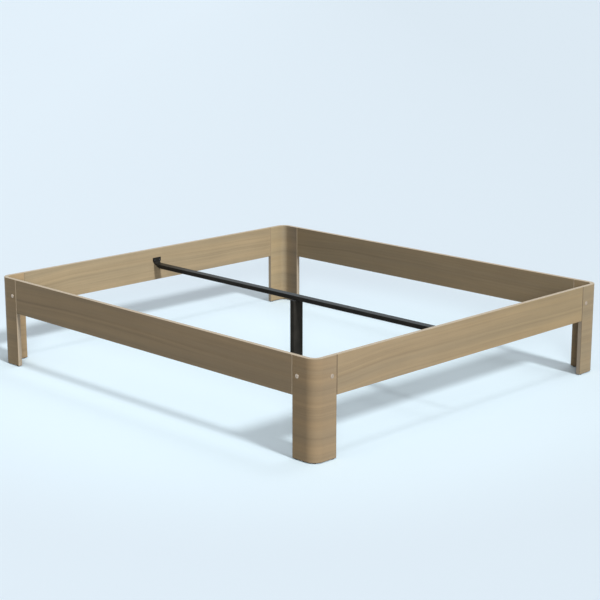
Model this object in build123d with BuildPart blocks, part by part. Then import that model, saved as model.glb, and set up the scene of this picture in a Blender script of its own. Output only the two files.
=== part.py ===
from build123d import *
import os

# Double bed frame for a mattress of 1800 by 2000 mm, open inside, with no headboard.
# Four legs of moulded ply stand at the corners, four rails butt flush between their flanges,
# and a steel centre beam with its own adjustable leg runs from the head rail to the foot rail.
# Frame: +Z up, floor at zero, +Y towards the head, origin in the middle of the footprint.

# The wooden frame
frame_length = 2056.0
frame_width = 1856.0
frame_height = 416.0
rail_height = 159.0
board = 20.0
leg_flange = 121.0
corner_radius = 48.0
edge_ease = 1.2
seam_bevel = 1.6
seam_gap = 0.6

# Glides under the legs
glide_height = 4.0
glide_radius = 8.0
glide_bevel = 1.0
glide_inset = 16.0
nail_radius = 1.5
nail_length = 14.0

# Tongue plates, let into the rail ends and held there by two screws each
tongue_thickness = 5.0
tongue_height = 44.0
tongue_reach = 48.0
plate_thickness = 3.0
plate_width = 14.0
plate_height = 120.0
pocket_play = 0.25
slot_play = 0.4
slot_end_play = 2.0
screw_radius = 2.0
screw_head_radius = 3.9
screw_length = 38.0
screw_tip = 3.0
screw_spread = 42.0
thread_clearance = 0.05

# Connector bolts, through the leg flange into the tongue plate
bolt_inset = 27.0
bolt_radius = 3.0
bolt_tail = 2.0
bolt_head_radius = 9.0
bolt_head_height = 3.0
bolt_rim = 1.2
bolt_socket = 2.3
bolt_socket_depth = 1.9
bolt_hole_play = 0.2
bolt_hole_spare = 1.0

# Centre beam, a flat steel tube
beam_width = 40.0
beam_height = 20.0
beam_drop = 74.0
tube_wall = 2.0
tube_corner = 2.5
beam_end_play = 0.6

# Hangers that carry the beam ends on the head rail and the foot rail
hanger_width = 50.0
hanger_steel = 4.0
hanger_drop = 45.0
hanger_shoulder_drop = 63.0
hanger_knee_drop = 71.0
hanger_bend = 6.0
hanger_web_width = 38.0
hanger_web_reach = 34.0
hanger_tongue_reach = 94.0
hanger_tongue_play = 1.0
hanger_screw_spread = 15.0
hanger_screw_radius = 2.4
hanger_screw_length = 18.0
hanger_screw_tip = 4.0
hanger_screw_head_radius = 4.6
hanger_screw_head_height = 2.6
beam_screw_place = 70.0
beam_screw_radius = 3.0
beam_screw_head_radius = 5.2
beam_screw_head_height = 3.0
beam_screw_tail = 2.0
hole_play = 0.25

# Centre leg, a flat steel tube across the beam, with a plug at each end
leg_tube_width = 60.0
leg_tube_depth = 25.0
plug_flange = 2.0
plug_play = 0.15
top_plug_length = 30.0
bottom_plug_length = 28.0
centre_bolt_radius = 4.0
centre_bolt_head_radius = 7.6
centre_bolt_socket = 2.9
centre_bolt_socket_depth = 2.2
centre_bolt_length = 43.0
top_insert_radius = 6.0
top_insert_length = 14.0
top_insert_cover = 8.0

# Levelling foot in the bottom plug
foot_clear = 22.0
foot_insert_radius = 6.5
foot_insert_length = 18.0
foot_insert_flange_radius = 8.5
foot_insert_flange = 2.0
stem_radius = 5.0
stem_running_clearance = 0.06
stem_bore_play = 0.5
stem_top = 76.0
stem_point = 1.0
hex_radius = 8.5
hex_height = 5.0
neck_radius = 3.0
ball_radius = 5.0
ball_height = 2.4
pad_radius = 16.0
pad_height = 8.0
pad_floor = 2.5
pad_edge = 1.5
pad_gap = 0.1
pad_pocket_play = 0.4

# Places worked out from the sizes above
half_width = frame_width / 2
half_length = frame_length / 2
rail_bottom = frame_height - rail_height
joint_height = frame_height - rail_height / 2
leg_length = frame_height - glide_height
inner_half_length = half_length - board
corner_centre_x = half_width - corner_radius
corner_centre_y = half_length - corner_radius
beam_top = frame_height - beam_drop
beam_bottom = beam_top - beam_height
beam_middle = beam_top - beam_height / 2
inner_tube_corner = tube_corner - tube_wall
hanger_top = frame_height - hanger_drop
hanger_shoulder = frame_height - hanger_shoulder_drop
hanger_knee = frame_height - hanger_knee_drop
hanger_tongue_middle = beam_bottom + tube_wall + hanger_steel / 2
web_run = hanger_web_reach - hanger_steel / 2
web_drop = hanger_knee - hanger_tongue_middle
hanger_tongue_width = beam_width - 2 * tube_wall - 2 * hanger_tongue_play
hanger_screw_height = (hanger_top + hanger_knee) / 2
tube_top = beam_bottom - plug_flange
tube_bottom = foot_clear + plug_flange
plug_width = leg_tube_width - 2 * tube_wall - 2 * plug_play
plug_depth = leg_tube_depth - 2 * tube_wall - 2 * plug_play

os.makedirs("parts", exist_ok=True)


def save(piece, name):
    piece.label = name
    export_step(piece, f"parts/{name}.step")


# The eight joints: each rail end has a seam plane that looks out of the rail into the leg,
# with its local X upwards, and a face plane on the leg where the bolt head sits
sides = {"left": -1, "right": 1}
ends = {"foot": -1, "head": 1}
seams = {}
faces = {}
for side, sx in sides.items():
    for end, sy in ends.items():
        seams["side", side, end] = Plane(
            origin=(sx * (half_width - board / 2), sy * (half_length - leg_flange), joint_height),
            x_dir=(0, 0, 1), z_dir=(0, sy, 0))
        faces["side", side, end] = Plane(
            origin=(sx * half_width, sy * (half_length - leg_flange + bolt_inset), joint_height),
            x_dir=(0, 0, 1), z_dir=(sx, 0, 0))
        seams["end", side, end] = Plane(
            origin=(sx * (half_width - leg_flange), sy * (half_length - board / 2), joint_height),
            x_dir=(0, 0, 1), z_dir=(sx, 0, 0))
        faces["end", side, end] = Plane(
            origin=(sx * (half_width - leg_flange + bolt_inset), sy * half_length, joint_height),
            x_dir=(0, 0, 1), z_dir=(0, sy, 0))


def glide_places(sx, sy):
    arc_share = 0.5 ** 0.5
    mid_radius = corner_radius - board / 2
    return [
        (sx * (half_width - board / 2), sy * (half_length - leg_flange + glide_inset)),
        (sx * (half_width - leg_flange + glide_inset), sy * (half_length - board / 2)),
        (sx * (corner_centre_x + mid_radius * arc_share),
         sy * (corner_centre_y + mid_radius * arc_share)),
    ]


# Legs: boards of ply moulded round the corner, one flange under the side rail's line
# and one under the end rail's, slotted at both edges for the tongues
def build_leg(side, end):
    sx, sy = sides[side], ends[end]
    with BuildPart() as leg:
        with BuildSketch(Plane.XY.offset(glide_height)):
            RectangleRounded(frame_width, frame_length, corner_radius)
            RectangleRounded(frame_width - 2 * board, frame_length - 2 * board,
                             corner_radius - board, mode=Mode.SUBTRACT)
            with Locations((sx * (half_width - leg_flange / 2), sy * (half_length - leg_flange / 2))):
                Rectangle(leg_flange, leg_flange, mode=Mode.INTERSECT)
        extrude(amount=leg_length)
        flange_ends = [
            leg.faces().filter_by(Axis.X).sort_by(lambda face: abs(face.center().X))[0],
            leg.faces().filter_by(Axis.Y).sort_by(lambda face: abs(face.center().Y))[0],
        ]
        chamfer([edge for face in flange_ends for edge in face.edges().filter_by(Axis.Z)], seam_bevel)
        flats = leg.faces().filter_by(Axis.Z)
        fillet(flats.edges().filter_by(lambda edge: edge.length > board), edge_ease)
        for run in ("side", "end"):
            with Locations(seams[run, side, end]):
                Box(tongue_height + slot_play, tongue_thickness + slot_play,
                    tongue_reach + slot_end_play,
                    align=(Align.CENTER, Align.CENTER, Align.MIN), mode=Mode.SUBTRACT)
            with Locations(faces[run, side, end]):
                Hole(bolt_radius + bolt_hole_play,
                     depth=board / 2 + tongue_thickness / 2 + bolt_tail + bolt_hole_spare)
        for x, y in glide_places(sx, sy):
            with Locations(Plane(origin=(x, y, glide_height), z_dir=(0, 0, -1))):
                Hole(nail_radius + thread_clearance, depth=nail_length)
    return leg.part


for side in sides:
    for end in ends:
        save(build_leg(side, end), f"leg_{end}_{side}")


# Rails: flat boards between the legs' flanges, with a pocket for the plate in each end. The
# plate stands a little proud, bears on the leg's edge and leaves a fine open seam in the wood
def build_rail(seam_pair, length, along):
    centre = (seam_pair[0].origin + seam_pair[1].origin) / 2
    with BuildPart() as rail:
        with Locations(Plane(origin=centre, x_dir=along, z_dir=(0, 0, 1))):
            Box(length - 2 * seam_gap, board, rail_height)
        rail_ends = rail.faces().filter_by(Axis((0, 0, 0), along))
        chamfer([edge for face in rail_ends for edge in face.edges().filter_by(Axis.Z)], seam_bevel)
        fillet(rail.edges().filter_by(lambda edge: edge.length > length - board), edge_ease)
        for seam in seam_pair:
            with Locations(seam):
                Box(plate_height + 2 * pocket_play, plate_width + 2 * pocket_play, plate_thickness,
                    align=(Align.CENTER, Align.CENTER, Align.MAX), mode=Mode.SUBTRACT)
                with Locations((screw_spread, 0, -plate_thickness), (-screw_spread, 0, -plate_thickness)):
                    Hole(screw_radius + thread_clearance, depth=screw_length)
    return rail.part


for side in sides:
    save(build_rail([seams["side", side, end] for end in ends],
                    frame_length - 2 * leg_flange, (0, 1, 0)), f"side_rail_{side}")

for end, sy in ends.items():
    with BuildPart() as end_rail:
        add(build_rail([seams["end", side, end] for side in sides],
                       frame_width - 2 * leg_flange, (1, 0, 0)))
        for x in (-hanger_screw_spread, hanger_screw_spread):
            inner_face = Plane(origin=(x, sy * inner_half_length, hanger_screw_height), z_dir=(0, -sy, 0))
            with Locations(inner_face):
                Hole(hanger_screw_radius + thread_clearance, depth=hanger_screw_length - hanger_steel)
    save(end_rail.part, f"{end}_rail")


# Tongue plates: an end plate let into the rail, with the tongue welded on its middle
def build_tongue(seam):
    with BuildPart(seam) as tongue:
        Box(plate_height, plate_width, plate_thickness, align=(Align.CENTER, Align.CENTER, Align.MAX))
        Box(tongue_height, tongue_thickness, tongue_reach, align=(Align.CENTER, Align.CENTER, Align.MIN))
        with Locations((screw_spread, 0, 0), (-screw_spread, 0, 0)):
            CounterSinkHole(screw_radius + hole_play, screw_head_radius + hole_play,
                            depth=plate_thickness, counter_sink_angle=90)
        with Locations((0, 0, bolt_inset)):
            Cylinder(bolt_radius + thread_clearance, plate_width, rotation=(90, 0, 0),
                     mode=Mode.SUBTRACT)
    return tongue.part


for (run, side, end), seam in seams.items():
    rail_name = f"side_rail_{side}_{end}" if run == "side" else f"{end}_rail_{side}"
    save(build_tongue(seam), f"tongue_{rail_name}")


# A countersunk screw or bolt, its flat head level with the plane it stands on
def build_countersunk(radius, length, head_radius, tip):
    with BuildPart() as screw:
        with BuildSketch(Plane.XZ):
            with BuildLine():
                Polyline((0, 0), (head_radius, 0), (radius, radius - head_radius),
                         (radius, tip - length), (0, -length), close=True)
            make_face()
        revolve(axis=Axis.Z)
    return screw.part


# Screws that hold the tongue plates, two to each rail end
plate_screw = build_countersunk(screw_radius, screw_length, screw_head_radius, screw_tip)
with BuildPart() as tongue_screws:
    for seam in seams.values():
        with Locations(seam):
            with Locations((screw_spread, 0, 0), (-screw_spread, 0, 0)):
                add(plate_screw)
save(tongue_screws.part, "tongue_screws")


# A round-headed bolt with a hexagon socket, standing on the plane it clamps
def build_bolt(radius, length, head_radius, head_height, rim, socket, socket_depth):
    with BuildPart() as bolt:
        with BuildSketch(Plane.XZ):
            with BuildLine():
                RadiusArc((0, head_height), (head_radius, rim),
                          head_radius ** 2 / (2 * (head_height - rim)) + (head_height - rim) / 2)
                Polyline((head_radius, rim), (head_radius, 0), (radius, 0), (radius, -length),
                         (0, -length), (0, head_height))
            make_face()
        revolve(axis=Axis.Z)
        with BuildSketch(Plane.XY.offset(head_height - socket_depth)):
            RegularPolygon(socket, side_count=6)
        extrude(amount=socket_depth, mode=Mode.SUBTRACT)
    return bolt.part


# Connector bolts: the eight silver heads on the outside of the legs
connector_bolt = build_bolt(bolt_radius, board / 2 + tongue_thickness / 2 + bolt_tail,
                            bolt_head_radius, bolt_head_height, bolt_rim,
                            bolt_socket, bolt_socket_depth)
with BuildPart() as connector_bolts:
    for face in faces.values():
        with Locations(face):
            add(connector_bolt)
save(connector_bolts.part, "connector_bolts")

# Glides: plastic discs nailed under each leg, one near each edge and one in the bend
with BuildPart() as glide:
    Cylinder(glide_radius, glide_height, align=(Align.CENTER, Align.CENTER, Align.MIN))
    chamfer(glide.edges().group_by(Axis.Z)[0], glide_bevel)
    with Locations((0, 0, glide_height)):
        Cylinder(nail_radius, nail_length, align=(Align.CENTER, Align.CENTER, Align.MIN))

with BuildPart() as leg_glides:
    for sx in sides.values():
        for sy in ends.values():
            with Locations(*glide_places(sx, sy)):
                add(glide.part)
save(leg_glides.part, "leg_glides")


# The plane just in front of a hanger's sloping web, along which the beam's end is cut
def build_cut(sy):
    out_of_web = Vector(0, -sy * web_drop, web_run).normalized()
    web_start = Vector(0, sy * (inner_half_length - hanger_steel / 2), hanger_knee)
    return Plane(origin=web_start + out_of_web * (hanger_steel / 2 + beam_end_play),
                 x_dir=(1, 0, 0), z_dir=out_of_web)


# Centre beam, cut aslant at both ends along the hangers' webs, drilled for the centre leg's
# bolt and for the screw under each end
with BuildPart() as centre_beam:
    with BuildSketch(Plane.XZ):
        with Locations((0, beam_middle)):
            RectangleRounded(beam_width, beam_height, tube_corner)
            RectangleRounded(beam_width - 2 * tube_wall, beam_height - 2 * tube_wall,
                             inner_tube_corner, mode=Mode.SUBTRACT)
    extrude(amount=inner_half_length - hanger_steel, both=True)
    for sy in ends.values():
        split(bisect_by=build_cut(sy), keep=Keep.TOP)
    with Locations((0, 0, beam_top)):
        CounterSinkHole(centre_bolt_radius + hole_play, centre_bolt_head_radius + hole_play,
                        depth=beam_height, counter_sink_angle=90)
    for sy in ends.values():
        screw_y = sy * (inner_half_length - beam_screw_place)
        with Locations(Plane(origin=(0, screw_y, beam_bottom), z_dir=(0, 0, -1))):
            Hole(beam_screw_radius + hole_play, depth=tube_wall)
save(centre_beam.part, "centre_beam")


# Beam hangers: bent from flat steel, screwed to the rail's inner face above the beam, narrowed
# below the screws and sloping down and out to a tongue that the beam tube slides over
def build_hanger(sy):
    with BuildPart() as hanger:
        with BuildSketch(Plane(origin=(0, sy * inner_half_length, 0), x_dir=(0, -sy, 0), z_dir=(-sy, 0, 0))):
            with BuildLine() as bend_line:
                FilletPolyline((hanger_steel / 2, hanger_top), (hanger_steel / 2, hanger_knee),
                               (hanger_web_reach, hanger_tongue_middle),
                               (hanger_tongue_reach, hanger_tongue_middle), radius=hanger_bend)
            trace(bend_line.line, hanger_steel)
        extrude(amount=hanger_width / 2, both=True)
        with BuildSketch(Plane.XZ):
            with BuildLine():
                right = [(hanger_width / 2, hanger_top), (hanger_width / 2, hanger_shoulder),
                         (hanger_web_width / 2, hanger_knee),
                         (hanger_tongue_width / 2, hanger_tongue_middle + hanger_steel / 2),
                         (hanger_tongue_width / 2, 0)]
                left = [(-x, height) for x, height in reversed(right)]
                Polyline(*right, *left, close=True)
            make_face()
        extrude(amount=half_length, both=True, mode=Mode.INTERSECT)
        for x in (-hanger_screw_spread, hanger_screw_spread):
            front = sy * (inner_half_length - hanger_steel)
            with Locations(Plane(origin=(x, front, hanger_screw_height), z_dir=(0, -sy, 0))):
                Hole(hanger_screw_radius + hole_play, depth=hanger_steel)
        screw_y = sy * (inner_half_length - beam_screw_place)
        with Locations((0, screw_y, hanger_tongue_middle + hanger_steel / 2)):
            Hole(beam_screw_radius + thread_clearance, depth=hanger_steel)
    return hanger.part


for end, sy in ends.items():
    save(build_hanger(sy), f"beam_hanger_{end}")

# Pan-head wood screws through the hangers into the rails
with BuildPart() as pan_screw:
    with BuildSketch(Plane.XZ):
        with BuildLine():
            Polyline((0, hanger_screw_head_height),
                     (hanger_screw_head_radius - hanger_screw_head_height / 2, hanger_screw_head_height),
                     (hanger_screw_head_radius, hanger_screw_head_height / 2),
                     (hanger_screw_head_radius, 0), (hanger_screw_radius, 0),
                     (hanger_screw_radius, hanger_screw_tip - hanger_screw_length),
                     (0, -hanger_screw_length), close=True)
        make_face()
    revolve(axis=Axis.Z)

with BuildPart() as hanger_screws:
    for sy in ends.values():
        for x in (-hanger_screw_spread, hanger_screw_spread):
            front = sy * (inner_half_length - hanger_steel)
            with Locations(Plane(origin=(x, front, hanger_screw_height), z_dir=(0, -sy, 0))):
                add(pan_screw.part)
save(hanger_screws.part, "hanger_screws")

# Screws from below that hold the beam on the hangers' tongues
beam_screw = build_bolt(beam_screw_radius, tube_wall + hanger_steel + beam_screw_tail,
                        beam_screw_head_radius, beam_screw_head_height, bolt_rim,
                        bolt_socket, bolt_socket_depth)
with BuildPart() as beam_screws:
    for sy in ends.values():
        screw_y = sy * (inner_half_length - beam_screw_place)
        with Locations(Plane(origin=(0, screw_y, beam_bottom), z_dir=(0, 0, -1))):
            add(beam_screw)
save(beam_screws.part, "beam_screws")

# Centre leg tube
with BuildPart() as centre_leg:
    with BuildSketch(Plane.XY.offset(tube_bottom)):
        RectangleRounded(leg_tube_width, leg_tube_depth, tube_corner)
        RectangleRounded(leg_tube_width - 2 * tube_wall, leg_tube_depth - 2 * tube_wall,
                         inner_tube_corner, mode=Mode.SUBTRACT)
    extrude(amount=tube_top - tube_bottom)
save(centre_leg.part, "centre_leg")

# Top plug: closes the tube under the beam and holds the nut that the centre bolt pulls on
with BuildPart() as top_plug:
    with BuildSketch(Plane.XY.offset(tube_top)):
        RectangleRounded(leg_tube_width, leg_tube_depth, tube_corner)
    extrude(amount=plug_flange)
    with BuildSketch(Plane.XY.offset(tube_top)):
        RectangleRounded(plug_width, plug_depth, inner_tube_corner)
    extrude(amount=-top_plug_length)
    with Locations((0, 0, beam_bottom)):
        Hole(centre_bolt_radius + hole_play)
    with Locations(Plane(origin=(0, 0, tube_top - top_plug_length), z_dir=(0, 0, -1))):
        Hole(top_insert_radius + thread_clearance, depth=top_plug_length - top_insert_cover)
save(top_plug.part, "centre_leg_top_plug")

# Threaded bush in the top plug
with BuildPart(Plane.XY.offset(tube_top - top_insert_cover)) as top_insert:
    Cylinder(top_insert_radius, top_insert_length, align=(Align.CENTER, Align.CENTER, Align.MAX))
    Hole(centre_bolt_radius + thread_clearance)
save(top_insert.part, "centre_leg_top_insert")

# Centre bolt, flush in the beam's top, down through the beam into the top plug
with BuildPart() as leg_bolt:
    with Locations((0, 0, beam_top)):
        add(build_countersunk(centre_bolt_radius, centre_bolt_length, centre_bolt_head_radius, hole_play))
    with BuildSketch(Plane.XY.offset(beam_top - centre_bolt_socket_depth)):
        RegularPolygon(centre_bolt_socket, side_count=6)
    extrude(amount=centre_bolt_socket_depth, mode=Mode.SUBTRACT)
save(leg_bolt.part, "centre_leg_bolt")

# Bottom plug: closes the tube and carries the levelling foot's threaded bush
with BuildPart() as bottom_plug:
    with BuildSketch(Plane.XY.offset(foot_clear)):
        RectangleRounded(leg_tube_width, leg_tube_depth, tube_corner)
    extrude(amount=plug_flange)
    with BuildSketch(Plane.XY.offset(tube_bottom)):
        RectangleRounded(plug_width, plug_depth, inner_tube_corner)
    extrude(amount=bottom_plug_length)
    with Locations(Plane(origin=(0, 0, foot_clear), z_dir=(0, 0, -1))):
        CounterBoreHole(foot_insert_radius + thread_clearance,
                        foot_insert_flange_radius + thread_clearance,
                        foot_insert_flange, depth=foot_insert_length)
        Hole(stem_radius + stem_bore_play)
save(bottom_plug.part, "centre_leg_bottom_plug")

# Threaded bush in the bottom plug, flush with its underside
with BuildPart(Plane.XY.offset(foot_clear)) as foot_insert:
    Cylinder(foot_insert_flange_radius, foot_insert_flange,
             align=(Align.CENTER, Align.CENTER, Align.MIN))
    Cylinder(foot_insert_radius, foot_insert_length, align=(Align.CENTER, Align.CENTER, Align.MIN))
    Hole(stem_radius + stem_running_clearance)
save(foot_insert.part, "levelling_foot_insert")

# Levelling stem: threaded rod with a hexagon to turn it by, a neck and a snap-in button
with BuildPart() as stem:
    button_bottom = pad_floor + pad_gap
    hex_bottom = pad_height + pad_gap
    with Locations((0, 0, button_bottom)):
        Cylinder(ball_radius, ball_height, align=(Align.CENTER, Align.CENTER, Align.MIN))
        Cylinder(neck_radius, hex_bottom - button_bottom, align=(Align.CENTER, Align.CENTER, Align.MIN))
    with BuildSketch(Plane.XY.offset(hex_bottom)):
        RegularPolygon(hex_radius, side_count=6, major_radius=False)
    extrude(amount=hex_height)
    with BuildSketch(Plane.XY.offset(hex_bottom + hex_height)):
        Circle(stem_radius)
    extrude(amount=stem_top - hex_bottom - hex_height)
    chamfer(stem.edges().group_by(Axis.Z)[-1], stem_point)
save(stem.part, "levelling_stem")

# Foot pad: plastic disc that stays still on the floor while the stem turns in it
with BuildPart() as pad:
    Cylinder(pad_radius, pad_height, align=(Align.CENTER, Align.CENTER, Align.MIN))
    fillet(pad.edges().group_by(Axis.Z)[-1], pad_edge)
    with Locations((0, 0, pad_floor)):
        Cylinder(ball_radius + pad_pocket_play, ball_height + 2 * pad_gap,
                 align=(Align.CENTER, Align.CENTER, Align.MIN), mode=Mode.SUBTRACT)
        Cylinder(neck_radius + stem_running_clearance, pad_height - pad_floor,
                 align=(Align.CENTER, Align.CENTER, Align.MIN), mode=Mode.SUBTRACT)
save(pad.part, "foot_pad")
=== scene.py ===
import math

import bpy
from mathutils import Matrix, Vector


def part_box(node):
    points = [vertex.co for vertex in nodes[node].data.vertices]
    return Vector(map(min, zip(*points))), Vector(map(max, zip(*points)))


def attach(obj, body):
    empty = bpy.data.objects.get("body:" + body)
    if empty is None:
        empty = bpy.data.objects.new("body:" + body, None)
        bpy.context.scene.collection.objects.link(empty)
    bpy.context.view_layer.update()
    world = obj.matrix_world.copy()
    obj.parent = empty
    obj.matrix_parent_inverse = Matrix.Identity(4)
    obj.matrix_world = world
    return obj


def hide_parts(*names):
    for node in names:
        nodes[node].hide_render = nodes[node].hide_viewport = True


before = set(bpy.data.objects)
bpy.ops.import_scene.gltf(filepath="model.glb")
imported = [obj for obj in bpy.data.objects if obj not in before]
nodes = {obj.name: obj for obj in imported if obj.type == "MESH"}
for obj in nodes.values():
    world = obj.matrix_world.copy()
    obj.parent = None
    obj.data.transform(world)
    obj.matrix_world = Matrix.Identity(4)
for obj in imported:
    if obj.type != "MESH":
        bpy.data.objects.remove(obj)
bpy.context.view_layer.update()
bpy.ops.object.select_all(action="DESELECT")

# The view: a long lens stands well off the foot end's left corner, about two metres above the
# floor, and looks a little down on the open frame.
camera_data = bpy.data.cameras.new("view")
camera_data.sensor_width = 36
camera_data.lens = 91.163
camera_data.clip_end = 200
camera = bpy.data.objects.new("view", camera_data)
bpy.context.scene.collection.objects.link(camera)
camera_place = (-4.8367, -4.8527, 1.9579)
camera_turn, camera_dip, camera_tilt = (math.radians(angle) for angle in (45.0423, 13.4588, 0.0185))
camera.matrix_world = (Matrix.Translation(camera_place)
                       @ Matrix.Rotation(-camera_turn, 4, "Z")
                       @ Matrix.Rotation(math.pi / 2 - camera_dip, 4, "X")
                       @ Matrix.Rotation(camera_tilt, 4, "Z"))
bpy.context.scene.camera = camera


# The light: the main lamp stands high in front of the foot end and throws the rails' shadows
# back under the bed. Weaker ones stand beside the camera, overhead and high on the right.
def hang_lamp(name, towards, strength, softness):
    """a lamp far off in that direction, as wide in the sky as its softness in degrees"""
    lamp = bpy.data.lights.new(name, "SUN")
    lamp.energy = strength * math.pi
    lamp.angle = math.radians(softness)
    hung = bpy.data.objects.new(name, lamp)
    hung.rotation_mode = "QUATERNION"
    hung.rotation_quaternion = Vector(towards).to_track_quat("Z", "Y")
    bpy.context.scene.collection.objects.link(hung)


hang_lamp("key_lamp", towards=(-0.107, -1.21, 1.0), strength=0.665, softness=8)
hang_lamp("camera_lamp", towards=(-0.707, -0.707, 0.306), strength=0.30, softness=15)
hang_lamp("top_lamp", towards=(0.0, -0.18, 1.0), strength=0.085, softness=9)
hang_lamp("ceiling_lamp", towards=(0.0, 0.0, 1.0), strength=0.155, softness=100)
hang_lamp("side_lamp", towards=(0.5, 0.0, 1.0), strength=0.05, softness=14)


# The room and its floor: pale and plain, with a painted pool of light on the floor round the bed
# and painted shade toward the right. How pale they look is set apart from how much light they
# throw back on the wood.
class Reading:
    """What one node gives, used in sums like a plain number."""

    def __init__(self, tree, socket=None):
        self.tree, self.socket = tree, socket

    def feed(self, node, sockets):
        for name, value in sockets.items():
            if isinstance(value, Reading):
                self.tree.links.new(value.socket, node.inputs[name])
            else:
                node.inputs[name].default_value = value

    def node(self, kind, settings=None, sockets=None, gives=0):
        made = self.tree.nodes.new("ShaderNode" + kind)
        for name, value in (settings or {}).items():
            setattr(made, name, value)
        self.feed(made, sockets or {})
        return Reading(self.tree, made.outputs[gives])

    def also(self, gives):
        return Reading(self.tree, self.socket.node.outputs[gives])

    def math(self, operation, *values):
        return self.node("Math", {"operation": operation}, dict(enumerate(values)))

    def __add__(self, other):
        return self.math("ADD", self, other)

    def __radd__(self, other):
        return self.math("ADD", other, self)

    def __sub__(self, other):
        return self.math("SUBTRACT", self, other)

    def __rsub__(self, other):
        return self.math("SUBTRACT", other, self)

    def __mul__(self, other):
        return self.math("MULTIPLY", self, other)

    def __rmul__(self, other):
        return self.math("MULTIPLY", other, self)

    def __truediv__(self, other):
        return self.math("DIVIDE", self, other)

    def __pow__(self, other):
        return self.math("POWER", self, other)

    def __gt__(self, other):
        return self.math("GREATER_THAN", self, other)

    def __lt__(self, other):
        return self.math("LESS_THAN", self, other)

    def held(self, low, high):
        """never under low or over high"""
        return self.math("MINIMUM", self.math("MAXIMUM", self, low), high)

    def between(self, low, high):
        """0 at low, 1 at high, eased in between"""
        settings = {"interpolation_type": "SMOOTHSTEP"}
        return self.node("MapRange", settings, {"Value": self, "From Min": low, "From Max": high})

    def blend(self, first, second):
        """the first colour where this is 0, the second where it is 1"""
        return self.node("Mix", {"data_type": "RGBA"}, {0: self, 6: first, 7: second}, gives=2)

    def split(self):
        """the x, y and z of a place"""
        parts = self.node("SeparateXYZ", sockets={0: self})
        return parts, parts.also("Y"), parts.also("Z")

    def scaled(self, factor):
        """a colour, lighter or darker by the factor"""
        return self.node("VectorMath", {"operation": "SCALE"}, {0: self, "Scale": factor})

    def cloud(self, x, y, z, detail=2.0, roughness=0.5):
        """soft noise, about half way on average, in cells of 1 by 1 by 1"""
        point = self.node("CombineXYZ", sockets={"X": x, "Y": y, "Z": z})
        return self.node("TexNoise", sockets={
            "Vector": point, "Scale": 1.0, "Detail": detail, "Roughness": roughness})


def seen_directly(reading):
    """1 for what the camera, a gloss or a clear body shows, 0 for the light that a surface gets"""
    ray = reading.node("LightPath", gives="Is Camera Ray")
    return ray.math("MAXIMUM", ray.math("MAXIMUM", ray, ray.also("Is Glossy Ray")),
                    ray.also("Is Transmission Ray"))


# The floor carries a painted pool of light, palest near the middle of the bed and fading from one reach
# to the next, and painted shade that grows toward the right
floor_painted_pool_colour = (0.805, 0.972, 1.068, 1.0)
floor_far = (0.732, 0.846, 0.932, 1.0)
floor_bounce = (0.08, 0.08, 0.08, 1.0)
room_fill = (0.226, 0.211, 0.208, 1.0)
painted_pool_middle, painted_pool_reach, painted_pool_fade_reach = (-0.141, 0.0, 0.0), 0.9, 2.2
side_reach, painted_side_shade = 3.0, 0.011

world = bpy.data.worlds.new("pale_room")
world.use_nodes = True
bpy.context.scene.world = world
room = Reading(world.node_tree)
room.feed(world.node_tree.nodes["Background"],
          {"Color": seen_directly(room).blend(room_fill, floor_far), "Strength": 1.0})

bpy.ops.mesh.primitive_plane_add(size=120)
floor = bpy.context.object
floor.name = "floor"
floor_material = bpy.data.materials.new("pale_floor")
floor_material.use_nodes = True
floor_tree = floor_material.node_tree
floor_tree.nodes.remove(floor_tree.nodes["Principled BSDF"])
spot = Reading(floor_tree).node("TexCoord", gives="Object")
past_bed = spot.node("VectorMath", {"operation": "DISTANCE"}, {0: spot, 1: painted_pool_middle}, gives="Value")
spot_x, spot_y, _ = spot.split()
to_right = ((spot_x - spot_y) * math.sqrt(0.5)).held(-side_reach, side_reach)
floor_paint_with_painted_light = past_bed.between(painted_pool_reach, painted_pool_fade_reach).blend(floor_painted_pool_colour, floor_far)
floor_paint_with_painted_light = floor_paint_with_painted_light.scaled(1.0 - to_right * painted_side_shade)
floor_skin = spot.node("BsdfDiffuse", sockets={
    "Color": seen_directly(spot).blend(floor_bounce, floor_paint_with_painted_light), "Roughness": 0.0})
spot.feed(floor_tree.nodes["Material Output"], {"Surface": floor_skin})
floor.data.materials.append(floor_material)
bpy.context.scene.view_settings.view_transform = "Standard"

# Legs: boards of bent ply, oak veneered on both faces, moulded round the bed's corner and cut
# to an L. The grain lies level and runs on round the bend; the sawn edges show the plies.
sides, ends = {"left": -1, "right": 1}, {"foot": -1, "head": 1}
half_width, half_length, board = 0.928, 1.028, 0.020
leg_flange, bend_radius = 0.121, 0.048
bend_centre_x, bend_centre_y = half_width - bend_radius, half_length - bend_radius
veneer, ply, bevel_reach, bevel_depth = 0.0007, 0.0015, 0.0021, 0.0018
oak_mid = (0.385, 0.295, 0.182, 1.0)
oak_warm = (0.392, 0.291, 0.172, 1.0)
pore_brown = (0.205, 0.140, 0.078, 1.0)
ply_light = (0.610, 0.525, 0.400, 1.0)
ply_dark = (0.505, 0.425, 0.315, 1.0)
# The bevels' colours: two of pale ply with painted highlight, a plain one, and a painted shade
painted_highlight_bevel = (0.600, 0.490, 0.340, 1.0)
soft_painted_highlight_bevel = (0.500, 0.410, 0.290, 1.0)
plain_bevel = (0.420, 0.330, 0.210, 1.0)
painted_shade_bevel = (0.215, 0.165, 0.105, 1.0)
# A dark line wanders along each board: its height, its sway, its half width, how far it climbs
# and falls and over which stretch, and how faint it ends and how much stronger it starts
line_height, line_sway, line_half = 0.324, 0.014, 0.007
line_climb, line_climbs = 0.020, (-0.90, -0.45)
line_fall, line_falls = 0.011, (-0.30, 0.90)
line_faint, line_extra, line_fades = 0.05, 0.14, (-0.90, 0.10)
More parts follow.
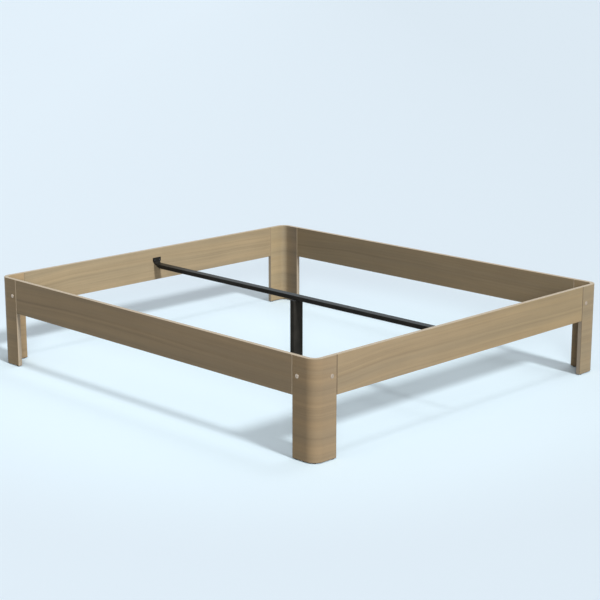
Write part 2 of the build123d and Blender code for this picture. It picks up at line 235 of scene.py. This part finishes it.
# How deep the growth lines, streaks, tone, fibres, patches and pores show
late_depth, streak_depth, tone_depth, fibre_depth, patch_depth, pore_depth = (
    0.07, 0.34, 0.36, 0.10, 0.16, 0.45)


def start_finish(name):
    """a new material: its shader, and a reading of the place on the piece"""
    material = bpy.data.materials.new(name)
    material.use_nodes = True
    shader = material.node_tree.nodes["Principled BSDF"]
    place = Reading(material.node_tree).node("TexCoord", gives="Object")
    return material, shader, place


def oak(name, unfold, seed, run, painted_light_tones, painted_bevels):
    """veneered ply, with painted light and shade as a tone that turns from one end of its run to the
    other, and painted highlight or shade on its small bevels at both ends
    """
    material, shader, place = start_finish(name)
    x, y, up = place.split()
    along, depth = unfold(x, y)

    def figure(cells, height=up, shifted=0, shift=seed, **grain):
        """soft noise in so many cells a metre along, up and into the board, shifted one way"""
        point = [way * count for way, count in zip((along, height, depth), cells)]
        point[shifted] += shift
        return place.cloud(*point, **grain)

    # The grain follows the dark line, so heights are measured from that line
    rise = along.between(*line_climbs) * line_climb - along.between(*line_falls) * line_fall
    sway = (figure((2.4, 0.0, 0.0)) - 0.5) * line_sway
    off_line = up - (line_height + rise + sway)
    near_line = 1.0 - off_line.math("ABSOLUTE", off_line).between(0.0, line_half)
    dark_line = near_line * (line_faint + (1.0 - along.between(*line_fades)) * line_extra)
    # Growth lines, streaks, tone, fibres, patches and fine pores
    late = figure((0.7, 120.0, 30.0), off_line, roughness=0.6).between(0.48, 0.66)
    streak = figure((1.3, 55.0, 40.0), off_line, detail=3.0, roughness=0.65)
    tone = figure((0.6, 17.0, 8.0), off_line, shifted=1)
    fibre = figure((14.0, 900.0, 900.0), shifted=2, roughness=0.7)
    patch = figure((5.0, 9.0, 9.0), detail=3.0)
    pore = figure((55.0, 2100.0, 2100.0), detail=1.0).between(0.60, 0.74) * (0.45 + late * 0.55)
    lightness = (1.0 - (late - 0.45) * late_depth + (streak - 0.5) * streak_depth
                 + (tone - 0.5) * tone_depth + (fibre - 0.5) * fibre_depth
                 + (patch - 0.5) * patch_depth - dark_line)
    warm = tone.between(0.35, 0.65).blend(oak_mid, oak_warm)
    # Painted light and shade: the board is made lighter or darker, turning from one tone to the other
    # along its run, for how the light falls on its faces
    painted_light_tone = along.between(*run).blend(painted_light_tones[0] + (1.0,), painted_light_tones[1] + (1.0,))
    face = place.node("VectorMath", {"operation": "MULTIPLY"}, {0: warm.scaled(lightness), 1: painted_light_tone})
    face = (pore * pore_depth).blend(face, pore_brown)
    # The sawn edges: plies that take turns between long grain and end grain
    layer = depth.math("PINGPONG", (depth - veneer) / ply + 0.5, 1.0)
    end_grain = layer.between(0.42, 0.58)
    grit = figure((500.0, 500.0, 2500.0), shifted=2)
    fleck = figure((9.0, 700.0, 700.0), shift=0.0)
    core = end_grain.blend(ply_light, ply_dark)
    core = core.scaled(0.86 + end_grain * (grit - 0.5) * 0.5 + (1.0 - end_grain) * fleck * 0.28)
    # Veneer on both faces, and the small bevels where the board meets its neighbours, which carry painted
    # highlight or painted shade
    from_face = depth.math("MINIMUM", depth, board - depth)
    from_end = along.math("MINIMUM", along - run[0], run[1] - along)
    in_core = from_face > veneer
    in_bevel = (from_end < bevel_reach) * (from_face < bevel_depth)
    painted_bevel_colour = (along > (run[0] + run[1]) / 2).blend(*painted_bevels)
    place.feed(shader, {
        "Base Color": in_bevel.blend(in_core.blend(face, core), painted_bevel_colour),
        "Roughness": 0.46 + (streak - 0.5) * 0.10 + in_core * 0.10,
        "Specular IOR Level": 0.22,
        "Normal": place.node("Bump", sockets={
            "Strength": 0.6, "Distance": 0.0003,
            "Height": fibre * 0.35 - pore * (1.0 - in_core) + streak * 0.25}),
    })
    return material


def bent_board(side, end):
    """how far along the bent board, and how far in from its outer face"""
    def unfold(x, y):
        past_x, past_y = x * side - bend_centre_x, y * end - bend_centre_y
        out_x, out_y = past_x.math("MAXIMUM", past_x, 0.0), past_y.math("MAXIMUM", past_y, 0.0)
        turned = out_y.math("ARCTAN2", out_y, out_x) * bend_radius
        straight = past_y.math("MINIMUM", past_y, 0.0) - past_x.math("MINIMUM", past_x, 0.0)
        return turned + straight, bend_radius - (out_x * out_x + out_y * out_y) ** 0.5
    return unfold


flange_flat = leg_flange - bend_radius
leg_run = (-flange_flat, bend_radius * math.pi / 2 + flange_flat)
# Painted light and shade on each leg: its side flange and its end flange darkened or lightened for how
# the light falls on them, fading across the bend
leg_painted_light_tones = {
    ("left", "foot"): ((0.87, 0.84, 0.80), (0.99, 0.99, 1.03)),
    ("left", "head"): ((0.79, 0.77, 0.72), (1.22, 1.20, 1.18)),
    ("right", "foot"): ((1.00, 1.00, 1.00), (0.91, 0.95, 0.98)),
    ("right", "head"): ((0.60, 0.66, 0.79), (1.22, 1.28, 1.28)),
}
# Painted highlight on the bevels of faces turned toward -X, painted shade on those of the foot end's
# outer faces
leg_painted_bevels = {
    ("left", "foot"): (soft_painted_highlight_bevel, painted_shade_bevel), ("left", "head"): (painted_highlight_bevel, plain_bevel),
    ("right", "foot"): (painted_highlight_bevel, painted_shade_bevel), ("right", "head"): (soft_painted_highlight_bevel, plain_bevel),
}
for side_name, side in sides.items():
    for end_name, end in ends.items():
        leg = nodes[f"leg_{end_name}_{side_name}"]
        leg.material_slots[0].material = oak(
            leg.name + "_oak", bent_board(side, end), seed=31.7 + 7.9 * side + 3.3 * end,
            run=leg_run, painted_light_tones=leg_painted_light_tones[side_name, end_name],
            painted_bevels=leg_painted_bevels[side_name, end_name])

# Rails: flat boards of the same ply and veneer, planed flush with the legs, with a small
# bevel at each end that leaves a V where they meet.
seam_gap = 0.0006
side_rail_end = half_length - leg_flange - seam_gap
# Painted light and shade on each side rail, lighter or darker for how the light falls on its faces
side_painted_light_tones = {"left": ((0.80, 0.795, 0.77), (0.90, 0.90, 0.91)),
              "right": ((0.69, 0.73, 0.765), (0.935, 0.96, 0.975))}
# The side rails' bevels carry painted highlight
for side_name, side in sides.items():
    rail = nodes[f"side_rail_{side_name}"]
    rail.material_slots[0].material = oak(
        rail.name + "_oak", lambda x, y, side=side: (0.0 - y, half_width - x * side),
        seed=11.3 * side, run=(-side_rail_end, side_rail_end), painted_light_tones=side_painted_light_tones[side_name],
        painted_bevels=(painted_highlight_bevel, soft_painted_highlight_bevel))
end_rail_end = half_width - leg_flange - seam_gap
# Painted light on the end rails, lightest on the head rail's inner face
end_painted_light_tones = {"foot": ((1.045, 1.07, 1.11), (1.02, 1.025, 0.97)),
             "head": ((1.185, 1.245, 1.29), (1.10, 1.15, 1.19))}
# Painted shade on the foot rail's bevels
end_painted_bevels = {"foot": painted_shade_bevel, "head": plain_bevel}
for end_name, end in ends.items():
    rail = nodes[f"{end_name}_rail"]
    rail.material_slots[0].material = oak(
        rail.name + "_oak", lambda x, y, end=end: (x, half_length - y * end),
        seed=5.1 + 17.3 * end, run=(-end_rail_end, end_rail_end), painted_light_tones=end_painted_light_tones[end_name],
        painted_bevels=(end_painted_bevels[end_name],) * 2)


# Tongue plates and their screws: cut and welded steel, zinc plated, let into the rail ends
# and pushed into the legs' slots, where the connector bolts draw them tight.
def shade(colour, factor):
    return tuple(channel * factor for channel in colour[:3]) + (1.0,)


def speckle(place, cells, cells_up=None, detail=3.0):
    """soft noise in so many cells a metre, and in its own number of them upward if one is given"""
    x, y, up = place.split()
    return place.cloud(x * cells, y * cells, up * (cells_up or cells), detail=detail)


def plated(name, colour, roughness, mottle):
    """bright or satin plating, with the faint drawn marks of the steel below"""
    material, shader, place = start_finish(name)
    spangle = speckle(place, 160.0)
    scratch = speckle(place, 900.0, cells_up=4200.0, detail=2.0)
    place.feed(shader, {
        "Base Color": spangle.between(0.3, 0.7).blend(shade(colour, 1.0 - mottle), colour),
        "Metallic": 1.0,
        "Roughness": roughness + (spangle - 0.5) * 0.12 + (scratch - 0.5) * 0.08,
        "Normal": place.node("Bump", sockets={
            "Strength": 0.25, "Distance": 0.00005, "Height": scratch}),
    })
    return material


zinc = plated("zinc_plating", (0.60, 0.61, 0.60, 1.0), roughness=0.38, mottle=0.14)
for name, node in nodes.items():
    if name.startswith("tongue_"):
        node.material_slots[0].material = zinc


# Connector bolts: round steel heads with a hexagon socket on a threaded shank, satin nickel
# plated, one through each leg flange in line with its rail and drawn up from outside.
def turn_up(name, rings, facets=32):
    """a closed round solid about Z, drawn on from ring to ring, each a radius and a height"""
    bpy.ops.object.select_all(action="DESELECT")
    radius, height = rings[0]
    bpy.ops.mesh.primitive_circle_add(
        vertices=facets, radius=radius, fill_type="NGON", location=(0, 0, height))
    turned = bpy.context.object
    turned.name = name
    bpy.ops.object.transform_apply()
    bpy.ops.object.mode_set(mode="EDIT")
    bpy.ops.mesh.select_all(action="SELECT")
    for next_radius, next_height in rings[1:]:
        bpy.ops.mesh.extrude_region_move(
            TRANSFORM_OT_translate={"value": (0, 0, next_height - height)})
        wider = next_radius / radius
        bpy.ops.transform.resize(value=(wider, wider, 1), center_override=(0, 0, next_height))
        radius, height = next_radius, next_height
    bpy.ops.mesh.select_all(action="SELECT")
    bpy.ops.mesh.normals_make_consistent(inside=False)
    bpy.ops.object.mode_set(mode="OBJECT")
    return turned


def cut_thread(name, crest, root, pitch, low, high, steps=24):
    """a threaded rod from low to high: one tooth's outline swept round and up, cut off square"""
    bpy.ops.object.select_all(action="DESELECT")
    bpy.ops.mesh.primitive_plane_add(size=pitch)
    rod = bpy.context.object
    rod.name = name
    bpy.ops.object.mode_set(mode="EDIT")
    bpy.ops.mesh.select_all(action="SELECT")
    bpy.ops.mesh.merge(type="CENTER")
    bpy.ops.transform.translate(value=(root, 0, low - pitch))
    flat, flank = pitch / 8, pitch * 5 / 16
    for out, up in ((0, flat), (crest - root, flank), (0, flat), (root - crest, flank), (0, flat)):
        bpy.ops.mesh.extrude_vertices_move(TRANSFORM_OT_translate={"value": (out, 0, up)})
    bpy.ops.object.mode_set(mode="OBJECT")
    sweep = rod.modifiers.new("sweep", "SCREW")
    sweep.screw_offset, sweep.iterations = pitch, math.ceil((high - low) / pitch) + 2
    sweep.steps = sweep.render_steps = steps
    bpy.ops.object.modifier_apply(modifier=sweep.name)
    bpy.ops.object.mode_set(mode="EDIT")
    bpy.ops.mesh.select_all(action="SELECT")
    bpy.ops.mesh.remove_doubles(threshold=pitch / 1000)
    for height, way in ((low, -1), (high, 1)):
        bpy.ops.mesh.select_all(action="SELECT")
        bpy.ops.mesh.bisect(plane_co=(0, 0, height), plane_no=(0, 0, way),
                            use_fill=True, clear_outer=True, threshold=pitch / 10000)
    bpy.ops.mesh.select_all(action="SELECT")
    bpy.ops.mesh.normals_make_consistent(inside=False)
    bpy.ops.object.mode_set(mode="OBJECT")
    return rod


def cut_with(piece, cutter, operation="DIFFERENCE"):
    """takes the cutter's shape out of the piece, or keeps only what lies in both"""
    cut = piece.modifiers.new("cut", "BOOLEAN")
    cut.operation, cut.object = operation, cutter
    bpy.context.view_layer.objects.active = piece
    bpy.ops.object.modifier_apply(modifier=cut.name)
    bpy.data.objects.remove(cutter)


def fit_together(name, parts, places, crease=32):
    """the parts as one object, a copy of them at each place, smooth up to a crease in degrees"""
    bpy.ops.object.select_all(action="DESELECT")
    for place in places:
        for part in parts:
            copy = part.copy()
            copy.data = part.data.copy()
            copy.matrix_world = place
            bpy.context.scene.collection.objects.link(copy)
            copy.select_set(True)
            bpy.context.view_layer.objects.active = copy
    bpy.ops.object.transform_apply()
    bpy.ops.object.join()
    whole = bpy.context.object
    whole.name = name
    bpy.ops.object.shade_smooth_by_angle(angle=math.radians(crease))
    for part in parts:
        bpy.data.objects.remove(part)
    return whole


def finish_piece(piece, body, slot, material, *stands_for):
    """gives a new piece its material and its body, and hides the nodes that it stands for"""
    piece.data.materials.clear()
    piece.data.materials.append(material)
    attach(piece, body)
    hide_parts(*stands_for)


def set_on(place, outward):
    """the place on an upright face that looks outward, with the piece's own X turned upward"""
    outward, upward = Vector(outward), Vector((0, 0, 1))
    turn = Matrix((upward, outward.cross(upward), outward)).transposed().to_4x4()
    return Matrix.Translation(place) @ turn


nickel = plated("satin_nickel", (0.56, 0.445, 0.345, 1.0), roughness=0.45, mottle=0.05)
bolt_thread, bolt_root, bolt_pitch, thread_top, bolt_end = 0.0030, 0.0025, 0.0010, -0.0046, -0.0145
bolt_neck, neck_bevel = bolt_thread * 0.98, 0.0004
bolt_head, head_edge, bolt_crown, crown_drop = 0.0090, 0.0003, 0.0030, 0.0018
socket_radius, socket_depth, socket_edge = 0.0023, 0.0019, 0.0004
neck_rings = [(0.0027, thread_top - neck_bevel), (bolt_neck, thread_top), (bolt_neck, 0.0)]
rim_rings = [(bolt_head - head_edge, 0.0), (bolt_head, head_edge), (bolt_head, 0.0009), (0.0088, 0.00125)]
dome = bolt_head ** 2 / (2 * crown_drop) + crown_drop / 2
dome_rings = [(radius, bolt_crown - dome + math.sqrt(dome ** 2 - radius ** 2))
              for radius in (0.0080, 0.0065, 0.0050, 0.0036, 0.0027)]
bolt = turn_up("bolt", neck_rings + rim_rings + dome_rings
               + [(socket_radius, bolt_crown - socket_edge)], facets=48)
bpy.ops.mesh.primitive_cylinder_add(
    vertices=6, radius=socket_radius, depth=2 * socket_depth, location=(0, 0, bolt_crown))
cut_with(bolt, bpy.context.object)
shank = cut_thread("shank", bolt_thread, bolt_root, bolt_pitch, bolt_end, thread_top, steps=16)
rail_low, rail_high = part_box("foot_rail")
bolt_height, bolt_inset = (rail_low[2] + rail_high[2]) / 2, leg_flange - 0.027
bolt_places = []
for side in sides.values():
    for end in ends.values():
        bolt_places += [
            set_on((side * half_width, end * (half_length - bolt_inset), bolt_height), (side, 0, 0)),
            set_on((side * (half_width - bolt_inset), end * half_length, bolt_height), (0, end, 0))]
bolts = fit_together("connector_bolts_turned", [bolt, shank], bolt_places)
finish_piece(bolts, "bed_frame", "nickel_bolts", nickel, "connector_bolts")


# Glides: discs of black plastic, three under each leg, moulded with a cup in the middle for the
# head of the zinc plated nail that holds them to the leg.
def moulded(name, colour, roughness):
    """moulded plastic with a fine spark-eroded grain"""
    material, shader, place = start_finish(name)
    grain = speckle(place, 1400.0)
    rub = speckle(place, 60.0)
    place.feed(shader, {
        "Base Color": rub.between(0.3, 0.7).blend(colour, shade(colour, 1.35)),
        "Roughness": roughness + (rub - 0.5) * 0.16,
        "Normal": place.node("Bump", sockets={
            "Strength": 0.35, "Distance": 0.00008, "Height": grain}),
    })
    return material


black_plastic = moulded("black_plastic", (0.024, 0.024, 0.025, 1.0), roughness=0.56)
glide_radius, glide_height, nail_radius = 0.0080, 0.0040, 0.0015
cup_rings = [(0.0031, 0.0011), (0.0032, 0.0003), (0.0035, 0.0)]
sole_rings = [(0.0070, 0.0), (0.0077, 0.0003), (glide_radius, 0.0010)]
glide = turn_up("glide", cup_rings + sole_rings + [(glide_radius, glide_height)])
nail_head_rings = [(0.0011, 0.0004), (0.0022, 0.0006), (0.0026, 0.0009)]
nail_shank_rings = [(nail_radius, 0.0012), (nail_radius, 0.0160), (0.0002, 0.0180)]
nail = turn_up("nail", nail_head_rings + nail_shank_rings, facets=16)
board_middle, glide_inset, bend_share = board / 2, leg_flange - 0.016, math.sqrt(0.5)
bend_middle = (bend_radius - board_middle) * bend_share
glide_places = []
for side in sides.values():
    for end in ends.values():
        glide_places += [Matrix.Translation((side * x, end * y, 0.0)) for x, y in (
            (half_width - board_middle, half_length - glide_inset),
            (half_width - glide_inset, half_length - board_middle),
            (bend_centre_x + bend_middle, bend_centre_y + bend_middle))]
glides = fit_together("leg_glides_nailed", [glide], glide_places)
finish_piece(glides, "bed_frame", "black_plastic", black_plastic, "leg_glides")
nails = fit_together("glide_nails", [nail], glide_places)
finish_piece(nails, "bed_frame", "zinc_plated_steel", zinc)


# Centre beam and its hangers: a flat steel tube, drilled for the centre leg's bolt and for a
# screw from below near each end, hung between two bent flat steels. All are powder coated.
def powder_coat(name, colour, roughness):
    """baked powder: a fine orange peel, a little dust on it"""
    material, shader, place = start_finish(name)
    peel = speckle(place, 520.0, detail=2.0)
    speck = speckle(place, 2600.0, detail=1.0)
    haze = speckle(place, 14.0, detail=4.0)
    place.feed(shader, {
        "Base Color": haze.between(0.35, 0.7).blend(colour, shade(colour, 1.5)),
        "Roughness": roughness + (haze - 0.5) * 0.14,
        "Specular IOR Level": 0.055,
        "Normal": place.node("Bump", sockets={
            "Strength": 0.45, "Distance": 0.00012, "Height": peel + speck * 0.3}),
    })
    return material


beam_coat = powder_coat("black_powder_coat", (0.0200, 0.0188, 0.0165, 1.0), roughness=0.30)
for name in ("centre_beam", "beam_hanger_head", "beam_hanger_foot"):
    nodes[name].material_slots[0].material = beam_coat

# Hanger screws: pan-head wood screws with a cross recess, black zinc plated, two through each
# hanger into the rail behind it.
black_zinc = plated("black_zinc", (0.075, 0.075, 0.080, 1.0), roughness=0.42, mottle=0.25)
wood_thread, pan_radius, pan_height = 0.0024, 0.0046, 0.0026
recess_depth, recess_sink, recess_bottom, recess_mouth = 0.0022, 0.0008, 0.0014, 0.0032
recess_width_share = 0.26
screw_rings = [(0.0002, -0.0180), (wood_thread, -0.0140), (wood_thread, 0.0)]
pan_rings = [(0.0044, 0.0), (pan_radius, 0.0003), (pan_radius, 0.0012), (0.0043, 0.0018),
             (0.0036, 0.0023), (0.0027, 0.0025), (0.0016, pan_height)]
pan = turn_up("pan_screw", screw_rings + pan_rings)
for quarter in (0, 1):
    bpy.ops.mesh.primitive_cone_add(
        vertices=4, radius1=recess_bottom, radius2=recess_mouth, depth=recess_depth,
        rotation=(0, 0, math.pi / 4), location=(0, 0, pan_height - recess_sink))
    blade = bpy.context.object
    bpy.ops.object.transform_apply()
    blade.scale = (1.0, recess_width_share, 1.0)
    blade.rotation_euler.z = quarter * math.pi / 2
    cut_with(pan, blade)
hanger_steel, screw_spread, screw_drop = 0.004, 0.015, 0.058
screw_height, hanger_face = rail_high[2] - screw_drop, half_length - board - hanger_steel
screw_places = [set_on((x, end * hanger_face, screw_height), (0, -end, 0))
                for end in ends.values() for x in (-screw_spread, screw_spread)]
pans = fit_together("hanger_screws_crossed", [pan], screw_places)
finish_piece(pans, "bed_frame", "black_screws", black_zinc, "hanger_screws")

# Beam screws and the centre leg's bolt: black zinc plated steel, the screws up from below
# into the hangers' tongues, the countersunk bolt down through the beam into the leg.
for name in ("beam_screws", "centre_leg_bolt"):
    nodes[name].material_slots[0].material = black_zinc

# Centre leg: a flat steel tube under the middle of the beam, its wide side across it. It is
# powder coated like the beam, a shade lighter.
leg_coat = powder_coat("lighter_powder_coat", (0.0300, 0.0280, 0.0240, 1.0), roughness=0.30)
nodes["centre_leg"].material_slots[0].material = leg_coat

# Centre leg's plugs and threaded bushes: moulded plugs that close the tube, with zinc plated
# steel bushes set in them.
for name in ("centre_leg_top_plug", "centre_leg_bottom_plug"):
    nodes[name].material_slots[0].material = black_plastic
for name in ("centre_leg_top_insert", "levelling_foot_insert"):
    nodes[name].material_slots[0].material = zinc

# Levelling stem: a rod with a 10 mm thread of 1.5 mm pitch, a hexagon to turn it by, and a
# button below that snaps into the pad. Cut from steel bar and zinc plated.
stem_crest, stem_root, stem_pitch, stem_top, stem_point = 0.0050, 0.0041, 0.0015, 0.0760, 0.0010
hex_low, hex_high, hex_flat, hex_bevel = 0.0081, 0.0131, 0.0085, 0.0007
button_low, button_high, button_radius, neck_radius = 0.0026, 0.0050, 0.0050, 0.0030
lead_in, lead_height, back_edge, back_height = 0.0008, 0.0007, 0.0004, 0.0005
sunk_in, overrun = 0.0005, 0.0001
hex_corner = hex_flat / math.cos(math.pi / 6)
rod = cut_thread("rod", stem_crest, stem_root, stem_pitch, hex_high - sunk_in, stem_top)
clear_of_thread = stem_crest * 1.1
cut_with(rod, turn_up("point", [
    (clear_of_thread, hex_low), (clear_of_thread, stem_top - 1.5 * stem_point),
    (stem_crest - stem_point, stem_top + overrun)]), "INTERSECT")
bpy.ops.mesh.primitive_cylinder_add(
    vertices=6, radius=hex_corner, depth=hex_high - hex_low, rotation=(0, 0, math.pi / 2),
    location=(0, 0, (hex_low + hex_high) / 2))
hexagon = bpy.context.object
bpy.ops.object.transform_apply()
cut_with(hexagon, turn_up("chamfer", [
    (hex_flat - overrun, hex_low - overrun), (hex_corner, hex_low + hex_bevel),
    (hex_corner, hex_high - hex_bevel), (hex_flat - overrun, hex_high + overrun)],
    facets=48), "INTERSECT")
button = turn_up("button", [
    (button_radius - lead_in, button_low), (button_radius, button_low + lead_height),
    (button_radius, button_high - back_height), (button_radius - back_edge, button_high),
    (neck_radius, button_high), (neck_radius, hex_low + sunk_in)])
stem = fit_together("levelling_stem_threaded", [rod, hexagon, button], [Matrix.Identity(4)])
finish_piece(stem, "foot_stem", "zinc_plated_steel", zinc, "levelling_stem")

# Levelling foot's pad: a moulded disc with grip ribs round its rim, which stays still on the
# floor while the stem's button turns in its pocket.
pad_radius, pad_height, rim_low, rim_high = 0.0160, 0.0080, 0.0009, 0.0062
pad_sole, pad_bore, pocket_radius, pocket_floor, pocket_roof = 0.0153, 0.00306, 0.0054, 0.0025, 0.0051
rib_count, rib_depth = 36, 0.0005
pad_sole_rings = [(0.0132, 0.0006), (0.0136, 0.0), (pad_sole, 0.0)]
pad_rim_rings = [(pad_radius, rim_low), (pad_radius, rim_high), (0.0157, 0.0072), (0.0148, pad_height)]
bore_rings = [(0.0040, pad_height), (0.0034, 0.0077), (pad_bore, 0.0073), (pad_bore, pocket_roof)]
pocket_rings = [(pocket_radius, pocket_roof), (pocket_radius, pocket_floor)]
pad = turn_up("pad", pad_sole_rings + pad_rim_rings + bore_rings + pocket_rings, facets=2 * rib_count)
bpy.ops.object.mode_set(mode="EDIT")
bpy.ops.mesh.select_all(action="DESELECT")
bpy.ops.object.mode_set(mode="OBJECT")
for face in pad.data.polygons:
    centre = face.center
    turn = math.atan2(centre.y, centre.x) / math.pi * rib_count
    on_rim = centre.xy.length > pad_sole and rim_low < centre.z < rim_high
    face.select = on_rim and math.floor(turn) % 2 == 0
bpy.ops.object.mode_set(mode="EDIT")
bpy.ops.mesh.inset(thickness=rib_depth / 2, depth=-rib_depth, use_individual=True)
bpy.ops.object.mode_set(mode="OBJECT")
pad = fit_together("foot_pad_ribbed", [pad], [Matrix.Identity(4)])
finish_piece(pad, "foot_pad", "black_plastic", black_plastic, "foot_pad")
